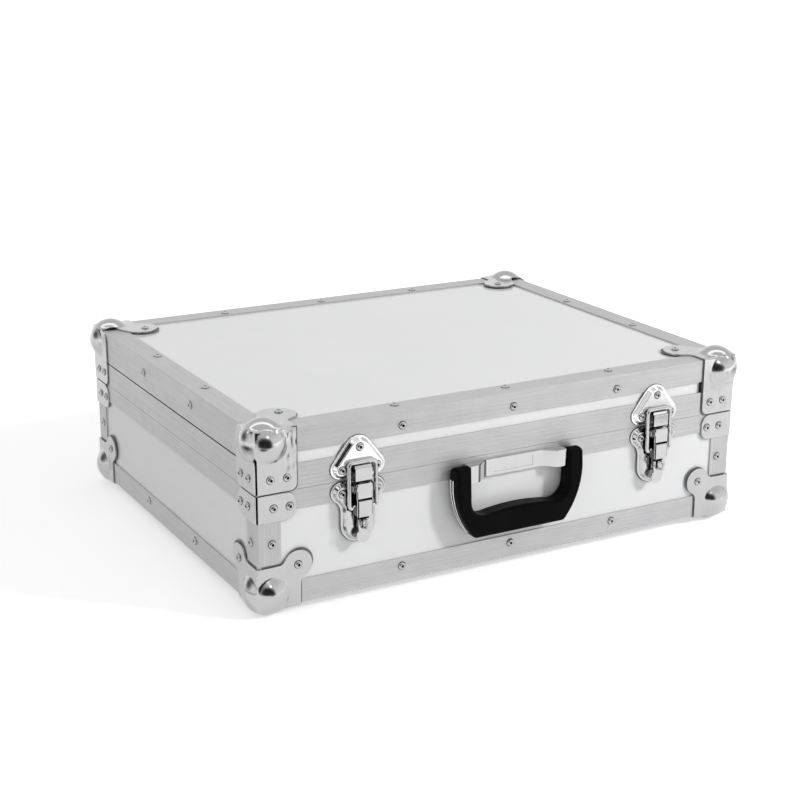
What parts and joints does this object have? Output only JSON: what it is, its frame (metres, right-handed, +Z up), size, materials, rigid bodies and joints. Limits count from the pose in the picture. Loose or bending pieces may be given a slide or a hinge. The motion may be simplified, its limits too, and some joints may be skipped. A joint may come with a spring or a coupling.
{
  "type": "hard carrying case for art supplies",
  "caption": "Hard case with white laminated panels in ribbed aluminium extrusions, chrome ball corners, draw latches with padlock staples, swinging grip and hinged lid",
  "frame": {"origin": "centre of the case's outline on the plane that the lower ball corners stand on", "axes": "+X to the case's right seen from the latch side, +Y to the hinges, so -Y is the latch side, +Z up"},
  "size_m": [0.527, 0.4348, 0.1778],
  "materials": {
    "aluminium": "satin anodised extrusion with fine grooves",
    "laminate": "white high-gloss laminate on plywood",
    "chrome": "bright plated pressed steel",
    "rivet": "domed blind rivets, bright",
    "pin": "turned steel pins",
    "grip": "satin black moulded plastic",
    "foam": "dark foam sheet with a soft nap"
  },
  "bodies": {
    "base": {"base_bottom_panel": "laminate", "base_front_panel": "laminate", "base_back_panel": "laminate", "base_left_panel": "laminate", "base_right_panel": "laminate", "base_posts": "aluminium", "base_edge_front": "aluminium", "base_edge_back": "aluminium", "base_edge_left": "aluminium", "base_edge_right": "aluminium", "base_rim_front": "aluminium", "base_rim_back": "aluminium", "base_rim_left": "aluminium", "base_rim_right": "aluminium", "base_rim_clips": "chrome", "padlock_staples": "chrome", "hinge_lower_leaves": "chrome", "handle_bracket": "chrome", "base_corner_front_left": "chrome", "base_corner_front_right": "chrome", "base_corner_back_left": "chrome", "base_corner_back_right": "chrome", "latch_plate_left": "chrome", "latch_plate_right": "chrome", "base_rivets": "rivet", "latch_pins": "pin", "hinge_pins": "pin", "handle_pins": "pin", "base_lining": "foam"},
    "lid": {"lid_top_panel": "laminate", "lid_front_panel": "laminate", "lid_back_panel": "laminate", "lid_left_panel": "laminate", "lid_right_panel": "laminate", "lid_edge_front": "aluminium", "lid_edge_back": "aluminium", "lid_edge_left": "aluminium", "lid_edge_right": "aluminium", "lid_rim_front": "aluminium", "lid_rim_back": "aluminium", "lid_rim_left": "aluminium", "lid_rim_right": "aluminium", "hinge_upper_leaves": "chrome", "lid_corner_front_left": "chrome", "lid_corner_front_right": "chrome", "lid_corner_back_left": "chrome", "lid_corner_back_right": "chrome", "latch_keeper_left": "chrome", "latch_keeper_right": "chrome", "lid_rivets": "rivet", "lid_lining": "foam"},
    "grip": {"handle_grip": "grip", "handle_trim": "chrome"},
    "lever_left": {"latch_lever_left": "chrome"},
    "lever_right": {"latch_lever_right": "chrome"},
    "bail_left": {"latch_bail_left": "chrome"},
    "bail_right": {"latch_bail_right": "chrome"}
  },
  "joints": [
    {"name": "lid_hinge", "type": "hinge", "parent": "base", "child": "lid", "pos_m": [0, 0.21335, 0.1138], "axis": [-1, 0, 0], "range_deg": [0, 95]},
    {"name": "grip_pivot", "type": "hinge", "parent": "base", "child": "grip", "pos_m": [0, -0.20655, 0.1018], "axis": [-1, 0, 0], "range_deg": [0, 90]},
    {"name": "left_lever", "type": "hinge", "parent": "base", "child": "lever_left", "pos_m": [-0.1595, -0.20705, 0.1085], "axis": [-1, 0, 0], "range_deg": [0, 120]},
    {"name": "left_bail", "type": "hinge", "parent": "lever_left", "child": "bail_left", "pos_m": [-0.1595, -0.20605, 0.0925], "axis": [-1, 0, 0], "range_deg": [-120, 0]},
    {"name": "right_lever", "type": "hinge", "parent": "base", "child": "lever_right", "pos_m": [0.1595, -0.20705, 0.1085], "axis": [-1, 0, 0], "range_deg": [0, 120]},
    {"name": "right_bail", "type": "hinge", "parent": "lever_right", "child": "bail_right", "pos_m": [0.1595, -0.20605, 0.0925], "axis": [-1, 0, 0], "range_deg": [-120, 0]}
  ],
  "couplings": [
    {"joint": "left_bail", "follows": "left_lever", "ratio": -1},
    {"joint": "right_bail", "follows": "right_lever", "ratio": -1}
  ]
}
